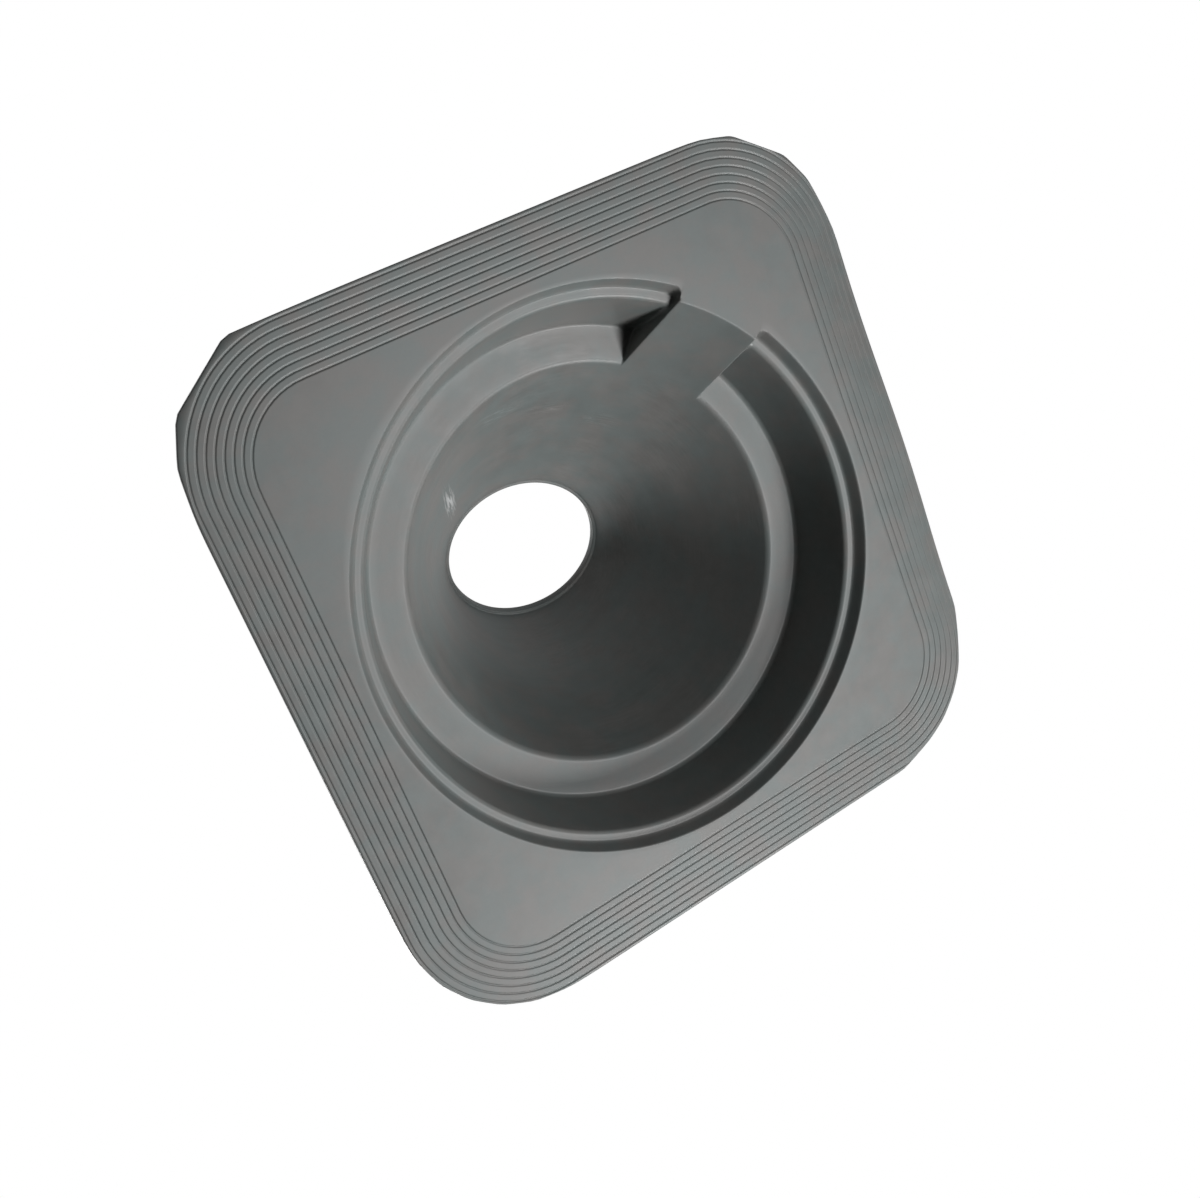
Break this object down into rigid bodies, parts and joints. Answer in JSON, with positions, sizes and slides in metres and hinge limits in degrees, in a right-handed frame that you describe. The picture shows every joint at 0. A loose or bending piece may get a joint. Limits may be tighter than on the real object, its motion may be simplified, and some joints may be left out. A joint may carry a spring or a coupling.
{
  "type": "pipe flashing boot",
  "caption": "Square rubber boot that seals a pipe through a roof: grooved flange, stepped round base and a soft cone with a tipped pipe hole.",
  "frame": {"origin": "middle of the square flange, in the plane of its underside", "axes": "+Z from the flange up towards the end of the cone, +X and +Y along the flange's sides, with the smooth strip towards the corner at +X and -Y"},
  "size_m": [0.28, 0.28, 0.1325],
  "materials": {
    "rubber": "matte moulded rubber with a faint sheen"
  },
  "bodies": {
    "root": {"boot": "rubber"}
  },
  "joints": []
}
